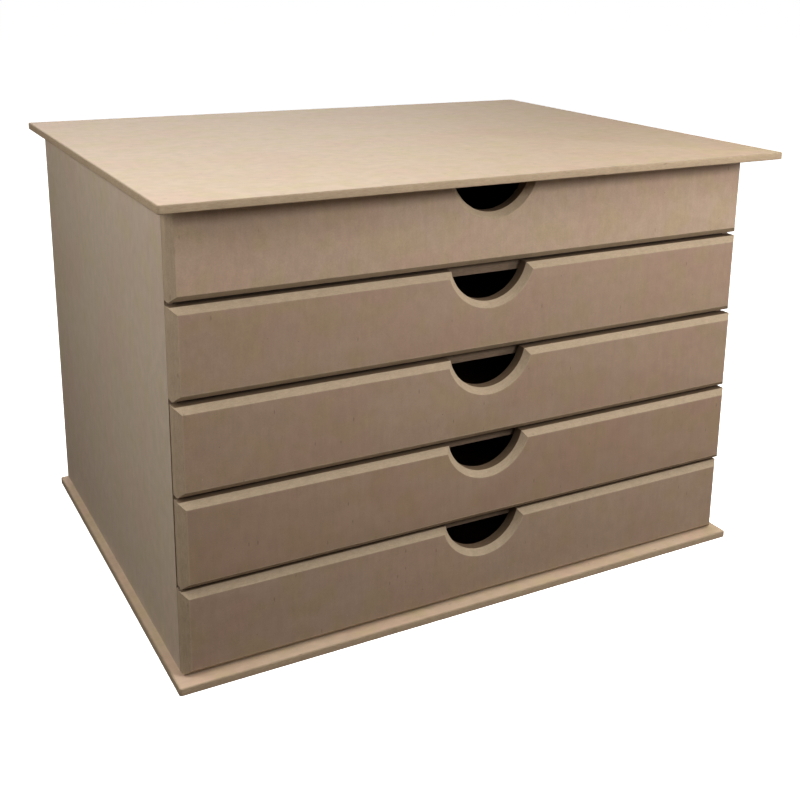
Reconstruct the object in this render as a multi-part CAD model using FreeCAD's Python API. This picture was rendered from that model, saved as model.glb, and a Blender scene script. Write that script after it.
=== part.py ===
import FreeCAD, Part
import math
import os

# Craft stamp storage drawers: a bare MDF cabinet with five equal shallow drawers.
#
# Millimetres. X runs to the right, Y to the back, Z up. The drawer fronts face -Y.
# The origin is under the middle of the top panel, on the surface the cabinet stands on.
# Each board is a solid of its own and is written to parts/NAME.step.

V = FreeCAD.Vector

# ---------------------------------------------------------------- driving dimensions
# Cabinet
CASE_WIDTH = 341.0            # over the outer faces of the side panels, and the width of a drawer front
CASE_DEPTH = 253.0            # side panel, front edge to back edge
SIDE_THICK = 6.0
BASE_THICK = 4.0
TOP_THICK = 4.0
SHELF_THICK = 6.0
BACK_THICK = 4.0

TOP_FRONT_OVERHANG = 20.0     # beyond the faces of the drawer fronts
TOP_SIDE_OVERHANG = 9.5       # beyond each side panel
BASE_FRONT_OVERHANG = 6.0
BASE_SIDE_OVERHANG = 5.0
CORNER_RADIUS = 1.6           # upright corners of the top and the base, sanded round
ARRIS = 0.4                   # sanded edge of the top and the base

SHELF_HOUSING = 2.0           # depth of the grooves that hold the shelves
BACK_REBATE = 3.0             # width of the rebate that holds the back panel

# Drawers
DRAWER_COUNT = 5
DRAWER_PITCH = 47.7
FRONT_THICK = 9.0
FRONT_GAP = 2.2               # between one front and the next
PASS_CLEARANCE = 1.2          # between an opening box and the upper edge of the front below it
FRONT_CHAMFER = 3.2
TOP_REVEAL = 0.4              # between the uppermost front and the top panel

NOTCH_RADIUS = 23.5           # finger notch, measured behind its chamfer
NOTCH_DEPTH = 18.3            # lowest point of the notch, below the front's upper edge

BOX_WALL = 4.0
BOX_BOTTOM = 3.0
BOX_SIDE_CLEARANCE = 1.0      # each side, between the box and the cabinet
BOX_HEADROOM = 3.6            # between the box and the shelf above it
BOX_REAR_CLEARANCE = 4.0      # between a closed box and the back panel
BOX_GROOVE = 2.0              # depth of the grooves inside the box
FRONT_HOUSING = 2.5           # depth of the grooves in the back of a front
BOTTOM_LIP = 2.8              # wood left under the bottom's groove, in the front
BACK_SETBACK = 6.0            # box sides run on behind the box back
BACK_DROP = 2.0               # the box back is lower than the box sides

# How far each drawer stands open at rest, from the uppermost down
REST_PULL = (0.0, 0.0, 1.2, 1.6, 0.0)

ON_FACE = 1e-6                # an edge this near to the face of a front lies on it

# ---------------------------------------------------------------- derived places
HALF_CASE = CASE_WIDTH / 2
HALF_INSIDE = HALF_CASE - SIDE_THICK
TOP_WIDTH = CASE_WIDTH + 2 * TOP_SIDE_OVERHANG
TOP_DEPTH = TOP_FRONT_OVERHANG + FRONT_THICK + CASE_DEPTH

FACE_Y = -TOP_DEPTH / 2 + TOP_FRONT_OVERHANG
CASE_FRONT_Y = FACE_Y + FRONT_THICK
CASE_BACK_Y = CASE_FRONT_Y + CASE_DEPTH
BACK_PANEL_Y = CASE_BACK_Y - BACK_THICK

# A front ends just below the surface that the drawer above it runs on, so that the box of that
# drawer passes over it, and its lower edge is as far up as the gap between fronts then leaves it.
FRONT_HEIGHT = DRAWER_PITCH - FRONT_GAP
FRONT_LIFT = FRONT_GAP - PASS_CLEARANCE
FRONT_TOP = FRONT_LIFT + FRONT_HEIGHT
SIDE_HEIGHT = (DRAWER_COUNT - 1) * DRAWER_PITCH + FRONT_TOP + TOP_REVEAL
CASE_TOP_Z = BASE_THICK + SIDE_HEIGHT

HALF_BOX = HALF_INSIDE - BOX_SIDE_CLEARANCE
HALF_BOX_INSIDE = HALF_BOX - BOX_WALL
BOX_HEIGHT = DRAWER_PITCH - SHELF_THICK - BOX_HEADROOM
BOX_BACK_Y = BACK_PANEL_Y - BOX_REAR_CLEARANCE
BOTTOM_Z = FRONT_LIFT + BOTTOM_LIP
FLOOR_Z = BOTTOM_Z + BOX_BOTTOM
BOX_BACK_REAR_Y = BOX_BACK_Y - BACK_SETBACK
BOX_BACK_FACE_Y = BOX_BACK_REAR_Y - BOX_WALL


def board(x_span, y_span, z_span):
    """A square-edged board between two places along each axis."""
    x, y, z = (sorted(span) for span in (x_span, y_span, z_span))
    return Part.makeBox(x[1] - x[0], y[1] - y[0], z[1] - z[0], V(x[0], y[0], z[0]))


def mirrored(shape):
    """The same board for the other side of the cabinet."""
    return shape.mirror(V(0, 0, 0), V(1, 0, 0))


def runner_z(row):
    """Height of the surface that the drawer in a row runs on. Row 0 is the uppermost."""
    return BASE_THICK + (DRAWER_COUNT - 1 - row) * DRAWER_PITCH


# ---------------------------------------------------------------- cabinet
def sanded_plate(width, y_span, z_span):
    """A flat panel with rounded upright corners and a lightly sanded edge all round."""
    plate = board((-width / 2, width / 2), y_span, z_span)
    upright = [e for e in plate.Edges if e.BoundBox.ZLength > (z_span[1] - z_span[0]) / 2]
    plate = plate.makeFillet(CORNER_RADIUS, upright)
    flat = [e for e in plate.Edges if e.BoundBox.ZLength < ARRIS]
    return plate.makeChamfer(ARRIS, flat)


def shelf_z(row):
    """Underside and upper face of the shelf below a row."""
    return (runner_z(row) - SHELF_THICK, runner_z(row))


SHELF_Y = (CASE_FRONT_Y, BACK_PANEL_Y)


def base_panel():
    """Base: stands on its whole underside and carries the side panels, glued on."""
    y_span = (FACE_Y - BASE_FRONT_OVERHANG, CASE_BACK_Y)
    return sanded_plate(CASE_WIDTH + 2 * BASE_SIDE_OVERHANG, y_span, (0, BASE_THICK))


def top_panel():
    """Top: glued on the sides, overhangs them and the fronts, and ends flush with the back."""
    y_span = (FACE_Y - TOP_FRONT_OVERHANG, CASE_BACK_Y)
    return sanded_plate(TOP_WIDTH, y_span, (CASE_TOP_Z, CASE_TOP_Z + TOP_THICK))


def left_side():
    """Side panel with a groove for every shelf and a rebate for the back."""
    panel = board((-HALF_CASE, -HALF_INSIDE), (CASE_FRONT_Y, CASE_BACK_Y), (BASE_THICK, CASE_TOP_Z))
    groove_x = (-HALF_INSIDE - SHELF_HOUSING, -HALF_INSIDE)
    cuts = [board(groove_x, SHELF_Y, shelf_z(row)) for row in range(DRAWER_COUNT - 1)]
    rebate_x = (-HALF_INSIDE - BACK_REBATE, -HALF_INSIDE)
    cuts.append(board(rebate_x, (BACK_PANEL_Y, CASE_BACK_Y), (BASE_THICK, CASE_TOP_Z)))
    return panel.cut(cuts).removeSplitter()


def back_panel():
    """Back: sits in the rebates of the two sides, between the base and the top."""
    half = HALF_INSIDE + BACK_REBATE
    return board((-half, half), (BACK_PANEL_Y, CASE_BACK_Y), (BASE_THICK, CASE_TOP_Z))


def shelf(row):
    """Shelf that the drawer in a row runs on, housed in both side panels."""
    half = HALF_INSIDE + SHELF_HOUSING
    return board((-half, half), SHELF_Y, shelf_z(row))


# ---------------------------------------------------------------- one drawer
# Heights are above the runner surface, and the drawer is closed.
def front_outline():
    """Outline of a drawer front: a rectangle with a round finger notch in its upper edge."""
    rise = NOTCH_RADIUS - NOTCH_DEPTH
    half_notch = math.sqrt(NOTCH_RADIUS ** 2 - rise ** 2)
    corners = [
        V(half_notch, FACE_Y, FRONT_TOP),
        V(HALF_CASE, FACE_Y, FRONT_TOP),
        V(HALF_CASE, FACE_Y, FRONT_LIFT),
        V(-HALF_CASE, FACE_Y, FRONT_LIFT),
        V(-HALF_CASE, FACE_Y, FRONT_TOP),
        V(-half_notch, FACE_Y, FRONT_TOP),
    ]
    edges = [Part.LineSegment(a, b).toShape() for a, b in zip(corners, corners[1:])]
    lowest = V(0, FACE_Y, FRONT_TOP - NOTCH_DEPTH)
    edges.append(Part.Arc(corners[-1], lowest, corners[0]).toShape())
    return Part.Face(Part.Wire(edges))


def drawer_front():
    """Front with one 45 degree chamfer round its four edges and its finger notch, mitred.

    Its back has grooves for the box sides and the box bottom, which stop inside the front.
    """
    front = front_outline().extrude(V(0, FRONT_THICK, 0))
    face_edges = [e for e in front.Edges if abs(e.BoundBox.YMax - FACE_Y) < ON_FACE]
    front = front.makeChamfer(FRONT_CHAMFER, face_edges)
    return front.cut([side_tongue(), mirrored(side_tongue()), box_bottom()]).removeSplitter()


def side_tongue():
    """Front end of the left box side, glued into the front."""
    y_span = (CASE_FRONT_Y - FRONT_HOUSING, CASE_FRONT_Y)
    return board((-HALF_BOX, -HALF_BOX_INSIDE), y_span, (FLOOR_Z, BOX_HEIGHT))


def box_left():
    """Left box side: grooved for the bottom and the back, with a tongue into the front."""
    side = board((-HALF_BOX, -HALF_BOX_INSIDE), (CASE_FRONT_Y, BOX_BACK_Y), (0, BOX_HEIGHT))
    return side.fuse(side_tongue()).cut([box_bottom(), box_back()]).removeSplitter()


def box_back():
    """Box back: stands on the bottom, in the upright grooves of the sides."""
    half = HALF_BOX_INSIDE + BOX_GROOVE
    y_span = (BOX_BACK_FACE_Y, BOX_BACK_REAR_Y)
    return board((-half, half), y_span, (FLOOR_Z, BOX_HEIGHT - BACK_DROP))


def box_bottom():
    """Box bottom: in the grooves of the front and the sides, under the back."""
    half = HALF_BOX_INSIDE + BOX_GROOVE
    y_span = (CASE_FRONT_Y - FRONT_HOUSING, BOX_BACK_REAR_Y)
    return board((-half, half), y_span, (BOTTOM_Z, FLOOR_Z))


def drawer_boards():
    """The five boards of one drawer, by name."""
    left = box_left()
    return {
        "front": drawer_front(),
        "left": left,
        "right": mirrored(left),
        "back": box_back(),
        "bottom": box_bottom(),
    }


# ---------------------------------------------------------------- assembly
def cabinet_nodes():
    """The boards of the cabinet, by node name."""
    left = left_side()
    nodes = {
        "base_panel": base_panel(),
        "left_side": left,
        "right_side": mirrored(left),
        "back_panel": back_panel(),
        "top_panel": top_panel(),
    }
    for row in range(DRAWER_COUNT - 1):
        nodes["shelf_%d" % (row + 1)] = shelf(row)
    return nodes


def drawer_nodes():
    """Every drawer at its own height and as far open as it stands at rest."""
    boards = drawer_boards()
    nodes = {}
    for row in range(DRAWER_COUNT):
        pull = REST_PULL[row] if row < len(REST_PULL) else 0.0
        place = V(0, -pull, runner_z(row))
        for name, shape in boards.items():
            nodes["drawer_%d_%s" % (row + 1, name)] = shape.translated(place)
    return nodes


def main():
    """Write one STEP file for each board."""
    os.makedirs("parts", exist_ok=True)
    nodes = cabinet_nodes()
    nodes.update(drawer_nodes())
    for name, shape in nodes.items():
        if len(shape.Solids) != 1 or not shape.isValid():
            raise ValueError("%s is not one valid solid" % name)
        shape.Solids[0].exportStep("parts/%s.step" % name)
        print("%-16s %8.0f mm3" % (name, shape.Volume))


main()
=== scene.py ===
"""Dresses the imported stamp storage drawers: raw fibreboard, a pale floor and soft studio light.

Metres. X runs to the right, Y to the back, Z up, and the drawer fronts face -Y.
The drawer fronts, the top and the base are rebuilt with eased, slightly furry routed edges.
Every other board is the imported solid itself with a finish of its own.
"""
import logging
import math
from dataclasses import dataclass, field, replace
from enum import Enum
from typing import Dict, List, Sequence, Tuple

import bmesh
import bpy
import numpy as np
from mathutils import Matrix, Vector


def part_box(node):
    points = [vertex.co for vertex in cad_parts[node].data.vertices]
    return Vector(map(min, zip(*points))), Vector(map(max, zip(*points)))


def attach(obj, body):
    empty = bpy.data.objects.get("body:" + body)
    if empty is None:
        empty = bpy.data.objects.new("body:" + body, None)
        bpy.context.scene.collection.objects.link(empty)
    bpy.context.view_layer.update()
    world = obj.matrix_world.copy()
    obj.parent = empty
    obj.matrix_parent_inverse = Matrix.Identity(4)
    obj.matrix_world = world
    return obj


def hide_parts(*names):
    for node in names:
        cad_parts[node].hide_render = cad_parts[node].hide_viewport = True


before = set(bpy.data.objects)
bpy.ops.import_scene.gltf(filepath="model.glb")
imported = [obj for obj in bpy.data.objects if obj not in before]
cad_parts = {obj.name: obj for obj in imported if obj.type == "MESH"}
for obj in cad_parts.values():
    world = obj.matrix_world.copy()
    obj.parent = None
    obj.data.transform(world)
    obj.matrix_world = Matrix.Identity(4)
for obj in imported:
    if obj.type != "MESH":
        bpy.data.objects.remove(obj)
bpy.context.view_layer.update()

Triple = Tuple[float, float, float]

LOG = logging.getLogger("drawers")
MM = 0.001
DRAWER_COUNT = 5
SHELF_COUNT = 4


class Facing(Enum):
    """The axis that a board's two broad faces look along."""

    SIDEWAYS = 0
    FORWARD = 1
    UPWARD = 2


class Slot(Enum):
    """The record's material slots."""

    PANEL = "mdf_panel"
    FRONT = "mdf_front"
    BOX = "mdf_box"


def linear(red: int, green: int, blue: int) -> Triple:
    """A colour given as screen values from 0 to 255, as linear light.

    Args:
        red: Screen value of red.
        green: Screen value of green.
        blue: Screen value of blue.

    Returns:
        The three linear values.
    """
    values = np.array((red, green, blue)) / 255.0
    low, high = values / 12.92, ((values + 0.055) / 1.055) ** 2.4
    return tuple(float(v) for v in np.where(values <= 0.04045, low, high))


# ---------------------------------------------------------------- finishes
class Graph:
    """A material's node tree, with short calls for the nodes that the finishes use."""

    FLECK_CORE = 0.45      # share of a fleck's radius that has its full strength

    def __init__(self, name: str) -> None:
        """Start an empty tree with an output and a shader."""
        self.material = bpy.data.materials.new(name)
        self.material.use_nodes = True
        self.tree = self.material.node_tree
        self.tree.nodes.clear()
        self.output = self.tree.nodes.new("ShaderNodeOutputMaterial")
        self.shader = self.tree.nodes.new("ShaderNodeBsdfPrincipled")
        self.join(self.shader.outputs["BSDF"], self.output.inputs["Surface"])

    def join(self, source: bpy.types.NodeSocket, target: bpy.types.NodeSocket) -> None:
        """Link an output to an input."""
        self.tree.links.new(source, target)

    def node(self, kind: str, **settings: object) -> bpy.types.Node:
        """Add a node and set its properties."""
        made = self.tree.nodes.new("ShaderNode" + kind)
        for key, value in settings.items():
            setattr(made, key, value)
        return made

    def feed(self, target: bpy.types.NodeSocket, value: object) -> None:
        """Link a socket to an input, or set the input to a plain value."""
        if isinstance(value, bpy.types.NodeSocket):
            self.join(value, target)
        else:
            target.default_value = value

    def maths(self, operation: str, first: object, second: object = 0.0) -> bpy.types.NodeSocket:
        """Combine two values with one of Blender's operations."""
        made = self.node("Math", operation=operation)
        self.feed(made.inputs[0], first)
        self.feed(made.inputs[1], second)
        return made.outputs[0]

    def ramp(self, value: object, low: float, high: float, start: float = 0.0, end: float = 1.0,
             ) -> bpy.types.NodeSocket:
        """Map a value smoothly from one span to another.

        Args:
            value: The value to map.
            low: Where the source span starts.
            high: Where the source span ends.
            start: The result at low.
            end: The result at high.

        Returns:
            The mapped value, held inside the result's span.
        """
        made = self.node("MapRange", interpolation_type="SMOOTHSTEP")
        for key, given in (("Value", value), ("From Min", low), ("From Max", high),
                           ("To Min", start), ("To Max", end)):
            self.feed(made.inputs[key], given)
        return made.outputs["Result"]

    def blend(self, amount: object, first: object, second: object, way: str = "MIX",
              ) -> bpy.types.NodeSocket:
        """Mix two colours.

        Args:
            amount: How much of the second colour, from 0 to 1.
            first: The colour underneath.
            second: The colour on top.
            way: Blender's name of the blend.

        Returns:
            The mixed colour.
        """
        made = self.node("Mix", data_type="RGBA", blend_type=way)
        self.feed(made.inputs[0], amount)
        for socket, colour in ((made.inputs[6], first), (made.inputs[7], second)):
            whole = isinstance(colour, bpy.types.NodeSocket)
            self.feed(socket, colour if whole else (*colour, 1.0))
        return made.outputs[2]

    def place(self, shift: Triple, scale: Triple = (1.0, 1.0, 1.0)) -> bpy.types.NodeSocket:
        """Object coordinates, shifted and then stretched along each axis."""
        source = self.node("TexCoord").outputs["Object"]
        made = self.node("Mapping")
        self.join(source, made.inputs["Vector"])
        made.inputs["Scale"].default_value = scale
        made.inputs["Location"].default_value = tuple(a * b for a, b in zip(shift, scale))
        return made.outputs["Vector"]

    def noise(self, where: bpy.types.NodeSocket, scale: float, detail: float = 2.0,
              roughness: float = 0.5) -> bpy.types.NodeSocket:
        """Soft noise with a given number of lumps to the metre."""
        made = self.node("TexNoise")
        self.join(where, made.inputs["Vector"])
        made.inputs["Scale"].default_value = scale
        made.inputs["Detail"].default_value = detail
        made.inputs["Roughness"].default_value = roughness
        return made.outputs["Fac"]

    def flecks(self, where: bpy.types.NodeSocket, scale: float, radius: float, share: float,
               ) -> bpy.types.NodeSocket:
        """Scattered round flecks.

        Each cell of a Voronoi pattern holds one point. A fleck is the place nearer to the point than
        the radius, and only the share of cells with the highest random value has one.

        Args:
            where: Coordinates.
            scale: Cells to the metre.
            radius: Radius of a fleck, in cells.
            share: Share of the cells that has a fleck.

        Returns:
            1 on a fleck and 0 elsewhere.
        """
        made = self.node("TexVoronoi")
        self.join(where, made.inputs["Vector"])
        made.inputs["Scale"].default_value = scale
        chosen = self.node("SeparateColor")
        self.join(made.outputs["Color"], chosen.inputs[0])
        spot = self.ramp(made.outputs["Distance"], radius * self.FLECK_CORE, radius, 1.0, 0.0)
        some = self.maths("GREATER_THAN", chosen.outputs[0], 1.0 - share)
        return self.maths("MULTIPLY", spot, some)


@dataclass(frozen=True)
class Flecks:
    """One kind of fleck in the board."""

    cells: float           # cells to the metre, or 1 where the coordinates are stretched already
    radius: float          # in cells
    share: float           # of the cells that hold a fleck
    strength: float
    colour: Triple


@dataclass(frozen=True)
class Fibreboard:
    """Raw medium-density fibreboard: a smooth pressed face and furry machined edges.

    The colour drifts over a few centimetres between a pinkish and an olive brown. Streaks left by the
    press and the sander, a fine grain and a few dark and pale flecks lie on it. Where the surface
    doesn't look along the board's facing, it is a machined edge: rougher, streaked along its layers,
    with a colour of its own. Where an attribute marks an edge as lying deep in the gaps between the
    drawer fronts or in the finger notches, it is painted darker: painted shade.
    """

    slot: Slot
    face: Triple
    edge: Triple
    edge_dark: Triple
    streaks_along: Facing = Facing.UPWARD
    drift: float = 0.7
    grain_contrast: float = 0.022
    roughness: float = 0.60
    specular: float = 0.30

    PINK: Triple = (1.00, 0.945, 0.95)
    OLIVE: Triple = (0.96, 0.985, 0.85)
    # Painted shade: the multiplier that darkens edges lying deep in the gaps between the fronts and in the
    # notches.
    RECESS_SHADE: Triple = (0.46, 0.40, 0.35)
    PATCH: float = 26.0
    SMALL_PATCH: float = 62.0
    CLOUD: float = 170.0
    CLOUD_CONTRAST: float = 0.035
    GRAIN: float = 1500.0
    STREAK: float = 560.0
    STREAK_SLOW: float = 80.0
    STREAK_CONTRAST: float = 0.024
    DASH: float = 430.0
    DASH_SLOW: float = 120.0
    LAYER_FINE: float = 3600.0
    LAYER_SLOW: float = 330.0
    RELIEF: float = 0.12 * MM
    RELIEF_STRENGTH: float = 0.5
    SMOOTH_RELIEF: float = 0.2
    FURRY_RELIEF: float = 0.9
    ROUGH_SWING: float = 0.07
    EDGE_ROUGHER: float = 0.2
    ARRIS_SHARE: float = 0.6
    ELSEWHERE: float = 3.7
    PINK_SPAN: Tuple[float, float] = (0.44, 0.64)
    OLIVE_SPAN: Tuple[float, float] = (0.46, 0.68)
    LAYER_SPAN: Tuple[float, float] = (0.36, 0.66)
    TURNED_SPAN: Tuple[float, float] = (0.93, 0.99)
    GRAIN_SPAN: Tuple[float, float] = (0.3, 0.7)
    TONE_SPAN: Tuple[float, float] = (0.25, 0.75)
    DARK_FLECK: Triple = (0.070, 0.042, 0.026)
    PALE_FLECK: Triple = (0.72, 0.62, 0.50)
    DASHES: Flecks = Flecks(1.0, 0.20, 0.06, 0.30, DARK_FLECK)
    SPECKS: Flecks = Flecks(190.0, 0.075, 0.10, 0.45, DARK_FLECK)
    FINE_SPECKS: Flecks = Flecks(520.0, 0.15, 0.10, 0.16, DARK_FLECK)
    PALE_SPECKS: Flecks = Flecks(230.0, 0.065, 0.08, 0.40, PALE_FLECK)

    def tinted(self, tint: Triple) -> Triple:
        """The face's colour through a tint."""
        return tuple(a * b for a, b in zip(self.face, tint))

    def stretch(self, along: Facing, across: float, slow: float) -> Triple:
        """Scales that draw noise out into streaks along one axis."""
        return tuple(slow if axis is along else across for axis in Facing)

    def material(self, board: str, facing: Facing, shift: Triple) -> bpy.types.Material:
        """Build the material of one board.

        Args:
            board: Name of the board.
            facing: Axis that its broad faces look along.
            shift: Where in the pattern the board was cut from, in metres.

        Returns:
            The material.
        """
        graph = Graph("fibreboard_" + board)
        spot = graph.place(shift)
        elsewhere = graph.place(tuple(s + self.ELSEWHERE for s in shift))
        cloud = graph.noise(spot, self.CLOUD, 3.0)
        grain = graph.noise(spot, self.GRAIN, 3.0, 0.62)
        along = graph.place(shift, self.stretch(self.streaks_along, self.STREAK, self.STREAK_SLOW))
        streak = graph.noise(along, 1.0, 2.0, 0.55)
        through = graph.place(shift, self.stretch(facing, self.LAYER_SLOW, self.LAYER_FINE))
        layer = graph.noise(through, 1.0, 2.0, 0.6)
        edge = self.edge_mask(graph, facing)

        warm = graph.ramp(graph.noise(spot, self.PATCH, 2.0), *self.PINK_SPAN, 0.0, self.drift)
        green = graph.ramp(graph.noise(elsewhere, self.SMALL_PATCH, 2.0), *self.OLIVE_SPAN, 0.0, self.drift)
        colour = graph.blend(green, graph.blend(warm, self.face, self.tinted(self.PINK)),
                             self.tinted(self.OLIVE))
        cut = graph.blend(graph.ramp(layer, *self.LAYER_SPAN), self.edge, self.edge_dark)
        # Painted shade: edges marked by the attribute, deep in the gaps and the notches, are multiplied
        # darker.
        recess_shade = graph.node("Attribute", attribute_name="recess_shade").outputs["Fac"]
        cut = graph.blend(recess_shade, cut, self.RECESS_SHADE, "MULTIPLY")
        colour = graph.blend(edge, colour, cut)
        tone = self.tone(graph, ((cloud, self.CLOUD_CONTRAST), (grain, self.grain_contrast),
                                 (streak, self.STREAK_CONTRAST)))
        colour = graph.blend(1.0, colour, tone, "MULTIPLY")
        dashes = graph.place(shift, self.stretch(self.streaks_along, self.DASH, self.DASH_SLOW))
        for where, kind in ((dashes, self.DASHES), (spot, self.SPECKS), (elsewhere, self.FINE_SPECKS),
                            (elsewhere, self.PALE_SPECKS)):
            found = graph.flecks(where, kind.cells, kind.radius, kind.share)
            colour = graph.blend(graph.maths("MULTIPLY", found, kind.strength), colour, kind.colour)
        graph.join(colour, graph.shader.inputs["Base Color"])

        rough = graph.ramp(grain, *self.GRAIN_SPAN, self.roughness - self.ROUGH_SWING,
                           self.roughness + self.ROUGH_SWING)
        graph.join(graph.maths("ADD", rough, graph.maths("MULTIPLY", edge, self.EDGE_ROUGHER)),
                   graph.shader.inputs["Roughness"])
        graph.shader.inputs["Specular IOR Level"].default_value = self.specular
        self.relief(graph, streak, grain, layer, edge)
        return graph.material

    def edge_mask(self, graph: Graph, facing: Facing) -> bpy.types.NodeSocket:
        """1 on machined edges, part of it on eased arrises, and 0 on the two broad faces."""
        parts = graph.node("SeparateXYZ")
        graph.join(graph.node("NewGeometry").outputs["True Normal"], parts.inputs[0])
        aligned = graph.maths("ABSOLUTE", parts.outputs[facing.value])
        turned = graph.ramp(aligned, *self.TURNED_SPAN, 1.0, 0.0)
        arris = graph.node("Attribute", attribute_name="arris").outputs["Fac"]
        return graph.maths("MAXIMUM", turned, graph.maths("MULTIPLY", arris, self.ARRIS_SHARE))

    def tone(self, graph: Graph, layers: Sequence[Tuple[bpy.types.NodeSocket, float]],
             ) -> bpy.types.NodeSocket:
        """Brightness from several noises, each with its own contrast, multiplied together."""
        total = None
        for value, contrast in layers:
            part = graph.ramp(value, *self.TONE_SPAN, 1.0 - contrast, 1.0 + contrast)
            total = part if total is None else graph.maths("MULTIPLY", total, part)
        grey = graph.node("CombineColor")
        for socket in grey.inputs:
            graph.join(total, socket)
        return grey.outputs[0]

    def relief(self, graph: Graph, streak: bpy.types.NodeSocket, grain: bpy.types.NodeSocket,
               layer: bpy.types.NodeSocket, edge: bpy.types.NodeSocket) -> None:
        """Bump: faint grain and streaks on the faces, and more of it on the machined edges."""
        smooth = graph.maths("MULTIPLY", graph.maths("ADD", grain, streak), self.SMOOTH_RELIEF)
        furry = graph.maths("MULTIPLY", graph.maths("ADD", layer, grain),
                            graph.maths("MULTIPLY", edge, self.FURRY_RELIEF))
        bump = graph.node("Bump")
        bump.inputs["Strength"].default_value = self.RELIEF_STRENGTH
        bump.inputs["Distance"].default_value = self.RELIEF
        graph.join(graph.maths("ADD", smooth, furry), bump.inputs["Height"])
        graph.join(bump.outputs["Normal"], graph.shader.inputs["Normal"])


TOP_BOARD = Fibreboard(slot=Slot.PANEL, streaks_along=Facing.SIDEWAYS, face=linear(203, 183, 161),
                       edge=linear(170, 153, 131), edge_dark=linear(161, 142, 119))
SIDE_BOARD = Fibreboard(slot=Slot.PANEL, face=linear(187, 173, 157), edge=linear(180, 160, 138),
                        edge_dark=linear(164, 144, 122))
# Painted shade: the shelves are the sides' board with much darker edges, since their front edges are seen
# only deep in the gaps between the fronts and in the finger notches.
SHELF_BOARD_SHADED_EDGES = replace(SIDE_BOARD, edge=linear(124, 108, 93), edge_dark=linear(113, 97, 81))
FRONT_BOARD = Fibreboard(slot=Slot.FRONT, face=linear(156, 136, 119), edge=linear(171, 154, 133),
                         edge_dark=linear(164, 148, 126), grain_contrast=0.055)
BOX_BOARD = Fibreboard(slot=Slot.BOX, face=linear(186, 166, 144), edge=linear(180, 160, 136),
                       edge_dark=linear(166, 144, 118))


# Painted light and shade: each front's lightness, and its warmth from olive to pink, set so that each front
# matches the light that falls on it. The top front is painted much lighter, against the shade that the
# top's overhang casts on it.
FRONT_PAINTED_LIGHT = ((1.28, -0.03), (1.01, 0.0), (0.98, 0.0), (0.92, 0.02), (0.99, -0.01))


def painted_light_front_board(number: int) -> Fibreboard:
    """The fibreboard of one drawer front, painted a little lighter, darker or warmer than the others:
    painted light and shade.
    """
    light, warm = FRONT_PAINTED_LIGHT[number - 1]
    tint = light * np.array((1.0 + warm, 1.0, 1.0 - warm / 2))
    return replace(FRONT_BOARD, face=tuple(float(v) for v in tint * FRONT_BOARD.face))


# ---------------------------------------------------------------- shapes
SHARP_ANGLE = math.radians(32.0)
CUT_STEP: Triple = (0.731, 1.117, 0.577)       # metres in the pattern from one cut to the next
CUT_START: Triple = (0.0, 0.3, 0.9)


@dataclass(frozen=True)
class Ripple:
    """Unevenness of a routed or sanded edge.

    Its height is a sum of cosines. Each runs round the outline a whole number of times, so that the end
    meets the start, and leans across the edge by a slant of its own.
    """

    depth: float
    longest: int
    shortest: int
    waves: int = 48

    def height(self, around: np.ndarray, across: np.ndarray, seed: int) -> np.ndarray:
        """Depth of wood missing at each point.

        Args:
            around: Place round the outline, from 0 to 1.
            across: Place across the edge, from 0 to 1.
            seed: Seed of the phases.

        Returns:
            Depths between 0 and the ripple's depth, one row for each place across.
        """
        rng = np.random.default_rng(seed)
        turns = rng.integers(self.longest, self.shortest, self.waves)[:, None, None]
        slant = rng.uniform(-0.6, 0.6, self.waves)[:, None, None]
        phase = rng.uniform(0.0, 2 * math.pi, self.waves)[:, None, None]
        angle = 2 * math.pi * (turns * around[None, None, :] + slant * across[None, :, None]) + phase
        total = np.cos(angle).sum(0)
        return self.depth * (total - total.min()) / (total.max() - total.min())


def eased(corners: np.ndarray, radii: Sequence[float], steps: int) -> Tuple[np.ndarray, np.ndarray]:
    """A polyline whose inner corners are rounded.

    Each corner becomes a circular arc that touches both of its runs: the arc starts and ends at the
    radius times the tangent of half the turn from the corner, and its points lie on a circle about the
    centre on the corner's bisector.

    Args:
        corners: The polyline's points.
        radii: One radius for each inner corner.
        steps: Pieces in each arc.

    Returns:
        The rounded points, and 1 for the points that lie on an arc and 0 for the others.
    """
    points, on_arc = [corners[0]], [0.0]
    for index, radius in enumerate(radii, start=1):
        here = corners[index]
        back = corners[index - 1] - here
        ahead = corners[index + 1] - here
        back, ahead = back / np.linalg.norm(back), ahead / np.linalg.norm(ahead)
        half = math.acos(float(np.clip(back @ ahead, -1.0, 1.0))) / 2
        middle = (back + ahead) / np.linalg.norm(back + ahead)
        centre = here + middle * radius / math.sin(half)
        start = here + back * radius / math.tan(half) - centre
        end = here + ahead * radius / math.tan(half) - centre
        share = np.linspace(0.0, 1.0, steps + 1)[:, None]
        sweep = math.pi - 2 * half
        arc = (np.sin((1 - share) * sweep) * start + np.sin(share * sweep) * end) / math.sin(sweep)
        points.extend(centre + arc)
        on_arc.extend([1.0] * (steps + 1))
    points.append(corners[-1])
    on_arc.append(0.0)
    return np.array(points), np.array(on_arc)


def inward(profile: np.ndarray) -> np.ndarray:
    """Unit directions into the wood at each point of a profile.

    The direction is the profile's own direction of travel, turned by a right angle towards the middle
    of the board.

    Args:
        profile: Points as (inset from the outline, depth from the face).

    Returns:
        One direction for each point, with the first and the last left at zero.
    """
    travel = np.gradient(profile, axis=0)
    travel /= np.linalg.norm(travel, axis=1, keepdims=True)
    turned = np.stack((travel[:, 1], -travel[:, 0]), axis=1)
    turned[[0, -1]] = 0.0
    return turned


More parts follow.
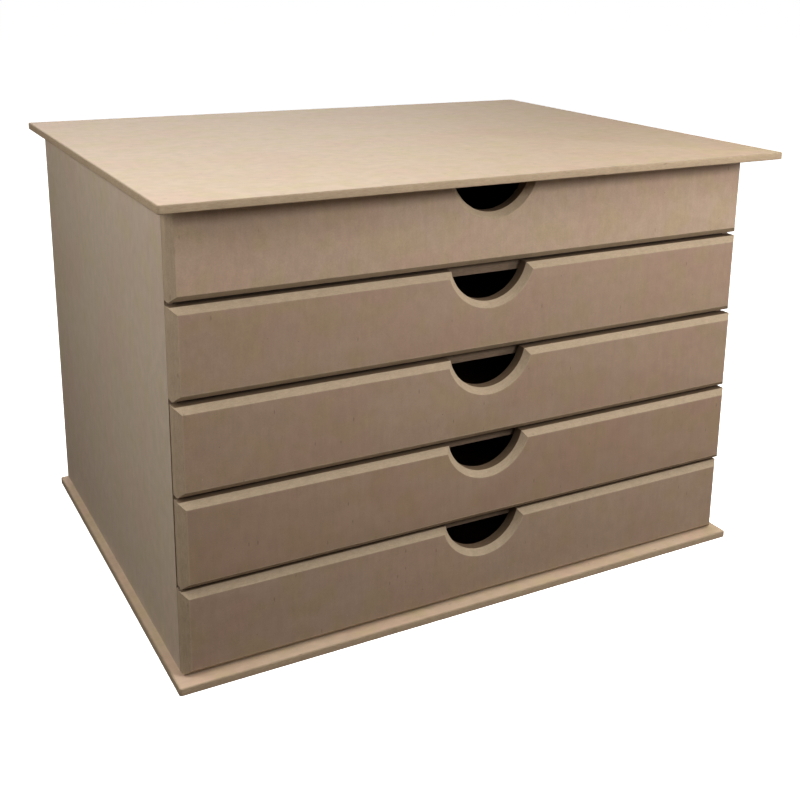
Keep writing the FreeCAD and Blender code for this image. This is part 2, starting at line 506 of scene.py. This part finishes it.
def solid(name: str, rings: np.ndarray, arris: np.ndarray, recess_shade: np.ndarray) -> bpy.types.Object:
    """A closed solid from rings of equal length, with a flat face across the first and the last.

    Args:
        name: Name of the piece.
        rings: Points, by ring, by place round the ring, by axis.
        arris: 1 where the wood is a rounded arris and 0 elsewhere, by ring and by place round it. A
            length of 1 along either stands for the same value all along it.
        recess_shade: 1 where the edge gets painted shade, in the gaps and the notch, and 0 elsewhere, in
            the same way.

    Returns:
        The new object, at the origin.
    """
    count, length = rings.shape[:2]
    index = np.arange(count * length).reshape(count, length)
    after = np.roll(index, -1, axis=1)
    quads = np.stack((index[:-1], after[:-1], after[1:], index[1:]), axis=-1).reshape(-1, 4)
    faces = quads.tolist() + [index[0].tolist(), index[-1][::-1].tolist()]
    mesh = bpy.data.meshes.new(name)
    mesh.from_pydata(rings.reshape(-1, 3).tolist(), [], faces)
    worked = bmesh.new()
    worked.from_mesh(mesh)
    bmesh.ops.recalc_face_normals(worked, faces=worked.faces)
    worked.to_mesh(mesh)
    worked.free()
    for key, values in (("arris", arris), ("recess_shade", recess_shade)):
        whole = np.broadcast_to(values, (count, length)).ravel().astype(np.float32)
        mesh.attributes.new(key, "FLOAT", "POINT").data.foreach_set("value", whole)
    mesh.polygons.foreach_set("use_smooth", np.ones(len(mesh.polygons), bool))
    mesh.set_sharp_from_angle(angle=SHARP_ANGLE)
    made = bpy.data.objects.new(name, mesh)
    bpy.context.scene.collection.objects.link(made)
    return made


def run(start: Sequence[float], end: Sequence[float], count: int) -> np.ndarray:
    """Evenly spaced points from one place up to, but not including, another."""
    return np.linspace(np.asarray(start, float), np.asarray(end, float), count, endpoint=False)


def shift_for(number: int) -> Triple:
    """Where in the pattern a board is cut from, so that no two boards share a figure."""
    return tuple(step * number + start for step, start in zip(CUT_STEP, CUT_START))


@dataclass
class Plate:
    """The top or the base: a flat panel with rounded corners and sanded arrises."""

    node: str
    corner: float = 1.6 * MM
    arris: float = 0.55 * MM
    rim: float = 1.2 * MM
    spacing: float = 1.5 * MM
    corner_points: int = 9
    arris_steps: int = 5
    ripple: Ripple = field(default_factory=lambda: Ripple(0.10 * MM, 8, 260))

    def outline(self, low: Vector, high: Vector, inset: float) -> np.ndarray:
        """The panel's outline, moved inwards.

        A rectangle whose four corners are quarter circles. Moved inwards, its sides keep their count of
        points and its corners keep their centres.

        Args:
            low: Lowest corner of the panel.
            high: Highest corner of the panel.
            inset: How far inwards.

        Returns:
            Points as (x, y), anticlockwise from above.
        """
        radius = self.corner - inset
        left, right = low.x + self.corner, high.x - self.corner
        front, back = low.y + self.corner, high.y - self.corner
        centres = ((right, back, 0.0), (left, back, 0.5), (left, front, 1.0), (right, front, 1.5))
        spans = (high.x - low.x, high.y - low.y)
        pieces: List[np.ndarray] = []
        for index, (x, y, turn) in enumerate(centres):
            angle = math.pi * (turn + np.linspace(0.0, 0.5, self.corner_points))
            arc = np.stack((x + radius * np.cos(angle), y + radius * np.sin(angle)), axis=1)
            pieces.append(arc)
            ahead_x, ahead_y, ahead_turn = centres[(index + 1) % len(centres)]
            first = math.pi * ahead_turn
            goal = (ahead_x + radius * math.cos(first), ahead_y + radius * math.sin(first))
            count = int(spans[index % 2] / self.spacing)
            pieces.append(run(arc[-1], goal, count)[1:])
        return np.concatenate(pieces)

    def build(self, seed: int) -> bpy.types.Object:
        """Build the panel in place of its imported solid.

        The edge's profile runs from the upper face over a rounded arris, down the edge and round the
        lower arris to the underside, and it is carried round the outline. The ripple is taken off
        along the profile's inward direction.

        Args:
            seed: Seed of the ripple.

        Returns:
            The panel's object.
        """
        low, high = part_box(self.node)
        thick = high.z - low.z
        corners = np.array([(self.rim, 0.0), (0.0, 0.0), (0.0, thick), (self.rim, thick)])
        profile, arris = eased(corners, (self.arris, self.arris), self.arris_steps)
        base = self.outline(low, high, 0.0)
        around = np.linspace(0.0, 1.0, len(base), endpoint=False)
        loss = self.ripple.height(around, np.linspace(0.0, 1.0, len(profile)), seed)
        push = np.abs(inward(profile))
        inset = profile[:, 0][:, None] + push[:, 0][:, None] * loss
        side = np.sign(thick / 2 - profile[:, 1])[:, None]
        depth = profile[:, 1][:, None] + side * push[:, 1][:, None] * loss
        deep = self.outline(low, high, self.rim)
        slope = (deep - base)[None, :, :] / self.rim
        flat = base[None, :, :] + slope * inset[:, :, None]
        rings = np.concatenate((flat, (high.z - depth)[:, :, None]), axis=2)
        made = solid(self.node + "_sanded", rings, arris[:, None], np.zeros((1, 1)))
        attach(made, "cabinet")
        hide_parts(self.node)
        return made


@dataclass
class DrawerFront:
    """A drawer front: one chamfer mitred round four edges and round the finger notch."""

    number: int
    chamfer: float = 3.2 * MM
    notch_radius: float = 23.5 * MM
    notch_depth: float = 18.3 * MM
    arris: float = 0.20 * MM
    rim: float = 0.7 * MM
    spacing: float = 1.2 * MM
    shoulder: float = 0.43        # share of the width that has points on each side of the notch
    notch_points: int = 72
    arris_steps: int = 4
    first_seed: int = 40
    ripple: Ripple = field(default_factory=lambda: Ripple(0.10 * MM, 6, 330))

    @property
    def node(self) -> str:
        """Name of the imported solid."""
        return "drawer_%d_front" % self.number

    def outline(self, low: Vector, high: Vector, inset: float) -> np.ndarray:
        """The front's outline, moved into the wood.

        A rectangle with a circular bite out of its upper edge. Moved into the wood, the rectangle
        shrinks by the inset on every side and the bite's radius grows by it, and the two meet where the
        circle crosses the lowered edge: half the chord is the root of the radius squared less the
        height of the centre above the edge squared.

        Args:
            low: Lowest corner of the front.
            high: Highest corner of the front.
            inset: How far into the wood.

        Returns:
            Points as (x, z), round the outline from the notch's left end.
        """
        left, right = low.x + inset, high.x - inset
        bottom, top = low.z + inset, high.z - inset
        middle = (low.x + high.x) / 2
        centre = high.z - self.notch_depth + self.notch_radius
        radius = self.notch_radius + inset
        half = math.sqrt(radius ** 2 - (centre - top) ** 2)
        ends = ((middle - half, top), (left, top), (left, bottom), (right, bottom), (right, top),
                (middle + half, top))
        spans = (high.x - low.x, high.z - low.z)
        counts = [int(span / self.spacing) for span in
                  (spans[0] * self.shoulder, spans[1], spans[0], spans[1], spans[0] * self.shoulder)]
        pieces = [run(a, b, n) for a, b, n in zip(ends, ends[1:], counts)]
        first = math.atan2(top - centre, half)
        last = -math.pi - first
        angle = run((first,), (last,), self.notch_points)[:, 0]
        pieces.append(np.stack((middle + radius * np.cos(angle), centre + radius * np.sin(angle)), axis=1))
        return np.concatenate(pieces)

    def build(self) -> bpy.types.Object:
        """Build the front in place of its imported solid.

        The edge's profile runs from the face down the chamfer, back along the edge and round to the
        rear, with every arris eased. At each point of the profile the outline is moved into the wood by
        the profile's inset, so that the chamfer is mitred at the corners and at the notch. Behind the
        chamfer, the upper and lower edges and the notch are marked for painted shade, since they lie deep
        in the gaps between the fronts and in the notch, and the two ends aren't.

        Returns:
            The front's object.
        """
        low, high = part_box(self.node)
        thick = high.y - low.y
        corners = np.array([(self.chamfer + self.rim, 0.0), (self.chamfer, 0.0), (0.0, self.chamfer),
                            (0.0, thick), (self.rim, thick)])
        profile, arris = eased(corners, (self.arris, self.arris, self.arris), self.arris_steps)
        outlines = np.stack([self.outline(low, high, inset) for inset in profile[:, 0]])
        around = np.linspace(0.0, 1.0, outlines.shape[1], endpoint=False)
        loss = self.ripple.height(around, np.linspace(0.0, 1.0, len(profile)),
                                  self.first_seed + self.number)
        worn = self.outline(low, high, self.chamfer) - self.outline(low, high, 0.0)
        push = np.abs(inward(profile))
        flat = outlines + (worn / self.chamfer)[None] * (push[:, 0][:, None] * loss)[:, :, None]
        depth = profile[:, 1][:, None] + push[:, 1][:, None] * loss * (profile[:, 1] < thick / 2)[:, None]
        rings = np.stack((flat[:, :, 0], low.y + depth, flat[:, :, 1]), axis=2)

        # Painted shade goes on the edges behind the chamfer along the top, the bottom and the notch, not on
        # the ends.
        behind = (profile[:, 1] > self.chamfer) & (profile[:, 0] < self.rim)
        along = outlines[0, :, 0]
        ends = (along <= along.min()) | (along >= along.max())
        recess_shade = behind[:, None] & ~ends[None, :]
        made = solid("drawer_%d_routed_front" % self.number, rings, arris[:, None], recess_shade)
        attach(made, "drawer_%d" % self.number)
        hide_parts(self.node)
        return made


def finish_piece(piece: bpy.types.Object, board: Fibreboard, facing: Facing, number: int) -> None:
    """Give a piece its own cut of a fibreboard.

    Args:
        piece: The piece, a packed board or a rebuilt one.
        board: Its finish.
        facing: Axis that its broad faces look along.
        number: Number of the cut.
    """
    material = board.material(piece.name, facing, shift_for(number))
    if piece.material_slots:
        for place in piece.material_slots:
            place.material = material
    else:
        piece.data.materials.append(material)
    LOG.info("%s: %s, facing %s", piece.name, board.slot.value, facing.name.lower())


# ---------------------------------------------------------------- sub-assemblies
@dataclass
class Cabinet:
    """The carcase: top, base, two sides, a back and four shelves."""

    top: Plate = field(default_factory=lambda: Plate("top_panel"))
    base: Plate = field(default_factory=lambda: Plate("base_panel"))
    top_seed: int = 11
    base_seed: int = 12
    boards: Dict[str, Facing] = field(default_factory=lambda: {
        "left_side": Facing.SIDEWAYS, "right_side": Facing.SIDEWAYS, "back_panel": Facing.FORWARD,
        **{"shelf_%d" % (row + 1): Facing.UPWARD for row in range(SHELF_COUNT)}})

    def build(self) -> None:
        """Rebuild the top and the base, and dress every other board."""
        finish_piece(self.top.build(self.top_seed), TOP_BOARD, Facing.UPWARD, 1)
        finish_piece(self.base.build(self.base_seed), TOP_BOARD, Facing.UPWARD, 2)
        for number, (name, facing) in enumerate(self.boards.items(), start=3):
            # Shelves get the board whose edges carry painted shade.
            board = SHELF_BOARD_SHADED_EDGES if facing is Facing.UPWARD else SIDE_BOARD
            finish_piece(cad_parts[name], board, facing, number)


@dataclass
class Drawer:
    """One drawer: its routed front and the four thin boards of its box."""

    number: int
    first_cut: int = 20
    cuts_apart: int = 10
    box: Dict[str, Facing] = field(default_factory=lambda: {
        "left": Facing.SIDEWAYS, "right": Facing.SIDEWAYS, "back": Facing.FORWARD,
        "bottom": Facing.UPWARD})

    def build(self) -> None:
        """Build the front and dress the box."""
        first = self.first_cut + self.cuts_apart * self.number
        finish_piece(DrawerFront(self.number).build(), painted_light_front_board(self.number), Facing.FORWARD, first)
        for offset, (part, facing) in enumerate(self.box.items(), start=1):
            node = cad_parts["drawer_%d_%s" % (self.number, part)]
            finish_piece(node, BOX_BOARD, facing, first + offset)


# ---------------------------------------------------------------- studio
@dataclass(frozen=True)
class Softbox:
    """A rectangle of soft light that looks at one point."""

    name: str
    place: Triple
    aim: Triple
    width: float
    height: float
    watts: float
    colour: Triple

    def build(self) -> None:
        """Hang the light."""
        lamp = bpy.data.lights.new(self.name, "AREA")
        lamp.shape = "RECTANGLE"
        lamp.size, lamp.size_y = self.width, self.height
        lamp.energy = self.watts
        lamp.color = self.colour
        hung = bpy.data.objects.new(self.name, lamp)
        hung.visible_camera = False
        hung.location = self.place
        hung.rotation_mode = "QUATERNION"
        hung.rotation_quaternion = (Vector(self.aim) - Vector(self.place)).to_track_quat("-Z", "Y")
        bpy.context.scene.collection.objects.link(hung)


WHITE: Triple = (1.0, 1.0, 1.0)
SOFTBOXES = (
    Softbox("light_overhead", (0.0, -0.10, 1.50), (0.0, -0.05, 0.15), 1.1, 1.1, 4.3, WHITE),
    Softbox("light_behind", (0.30, 1.40, 1.10), (0.0, 0.0, 0.20), 1.2, 0.8, 13.1, WHITE),
    Softbox("light_front", (0.20, -0.60, 0.44), (0.0, -0.10, 0.15), 0.12, 0.12, 1.9, WHITE),
    Softbox("light_front_strip", (0.10, -0.45, 0.60), (0.0, -0.10, 0.15), 0.7, 0.2, 1.4, WHITE),
    Softbox("light_left_front", (-0.60, -0.38, 0.36), (-0.17, -0.12, 0.13), 0.12, 0.12, 0.62, WHITE),
    Softbox("light_left_strip", (-0.60, -0.05, 0.50), (-0.17, 0.0, 0.15), 0.5, 0.2, 2.2, WHITE),
    Softbox("light_right", (0.65, -0.56, 0.37), (0.10, -0.12, 0.17), 0.26, 0.26, 2.75, WHITE),
)


@dataclass
class Studio:
    """A pale floor, a darker ground that bounces light from below, soft lights and the camera."""

    floor_size: float = 24.0
    floor_colour: Triple = (0.90, 0.90, 0.90)
    floor_glow: float = 1.0
    ground_drop: float = 1.0 * MM
    ground_colour: Triple = (0.20, 0.16, 0.12)
    cloud_scale: float = 1.2
    cloud_shade: float = 0.96
    contrast: float = 1.2
    lens: float = 51.4135
    sensor: float = 36.0
    shift: Tuple[float, float] = (-0.0375, -0.1675)
    place: Triple = (-0.30928, -0.60406, 0.34417)
    azimuth: float = 29.3764
    descent: float = 14.6850
    roll: float = 0.9834

    def plane(self, name: str, height: float, colour: Triple, glow: float) -> bpy.types.Object:
        """A square of plain ground with a faint cloudiness.

        Args:
            name: Name of the plane.
            height: Height of the plane.
            colour: Its colour.
            glow: How much light it gives off by itself.

        Returns:
            The plane's object.
        """
        half = self.floor_size / 2
        corners = [(x * half, y * half, height) for x, y in ((-1, -1), (1, -1), (1, 1), (-1, 1))]
        mesh = bpy.data.meshes.new(name)
        mesh.from_pydata(corners, [], [(0, 1, 2, 3)])
        made = bpy.data.objects.new(name, mesh)
        bpy.context.scene.collection.objects.link(made)
        graph = Graph(name)
        cloud = graph.ramp(graph.noise(graph.place((0.0, 0.0, 0.0)), self.cloud_scale), 0.3, 0.7)
        shade = graph.blend(cloud, colour, tuple(self.cloud_shade * c for c in colour))
        graph.join(shade, graph.shader.inputs["Base Color"])
        graph.shader.inputs["Roughness"].default_value = 0.9
        graph.shader.inputs["Specular IOR Level"].default_value = 0.1
        graph.shader.inputs["Emission Color"].default_value = (*WHITE, 1.0)
        graph.shader.inputs["Emission Strength"].default_value = glow
        mesh.materials.append(graph.material)
        return made

    def ground(self) -> None:
        """Lay the pale floor, which only the camera sees, over the ground that the boards see."""
        floor = self.plane("pale_floor", 0.0, self.floor_colour, self.floor_glow)
        floor.visible_diffuse = floor.visible_glossy = floor.visible_shadow = False
        below = self.plane("ground", -self.ground_drop, self.ground_colour, 0.0)
        below.visible_camera = False

    def surroundings(self) -> None:
        """Put a white backdrop all round, which the camera sees and the boards don't."""
        world = bpy.data.worlds.new("surroundings")
        world.use_nodes = True
        sky = world.node_tree.nodes["Background"]
        sky.inputs["Color"].default_value = (*WHITE, 1.0)
        sky.inputs["Strength"].default_value = 1.0
        bpy.context.scene.world = world
        world.cycles_visibility.diffuse = world.cycles_visibility.glossy = False

    def camera(self) -> None:
        """Set up the camera from its place, its two angles and its roll."""
        azimuth, descent, roll = (math.radians(a) for a in (self.azimuth, self.descent, self.roll))
        ahead = Vector((math.sin(azimuth) * math.cos(descent), math.cos(azimuth) * math.cos(descent),
                        -math.sin(descent)))
        right = ahead.cross(Vector((0.0, 0.0, 1.0))).normalized()
        up = right.cross(ahead)
        right, up = (right * math.cos(roll) + up * math.sin(roll),
                     up * math.cos(roll) - right * math.sin(roll))
        lens = bpy.data.cameras.new("camera")
        lens.lens = self.lens
        lens.sensor_width = self.sensor
        lens.shift_x, lens.shift_y = self.shift
        lens.clip_start = 0.01
        made = bpy.data.objects.new("camera", lens)
        turned = Matrix((right, up, -ahead)).transposed().to_4x4()
        turned.translation = self.place
        made.matrix_world = turned
        bpy.context.scene.collection.objects.link(made)
        bpy.context.scene.camera = made

    def build(self) -> None:
        """Set up the floor, the lights and the camera."""
        self.ground()
        self.surroundings()
        for softbox in SOFTBOXES:
            softbox.build()
        self.camera()
        bpy.context.scene.view_settings.view_transform = "Standard"
        bpy.context.scene.view_settings.gamma = 1.0 / self.contrast
        LOG.info("studio: %d lights", len(SOFTBOXES))


def main() -> None:
    """Build the cabinet, the drawers and the studio."""
    logging.basicConfig(level=logging.INFO, format="%(name)s %(message)s")
    Cabinet().build()
    for number in range(1, DRAWER_COUNT + 1):
        Drawer(number).build()
    Studio().build()


if __name__ == "__main__":
    main()
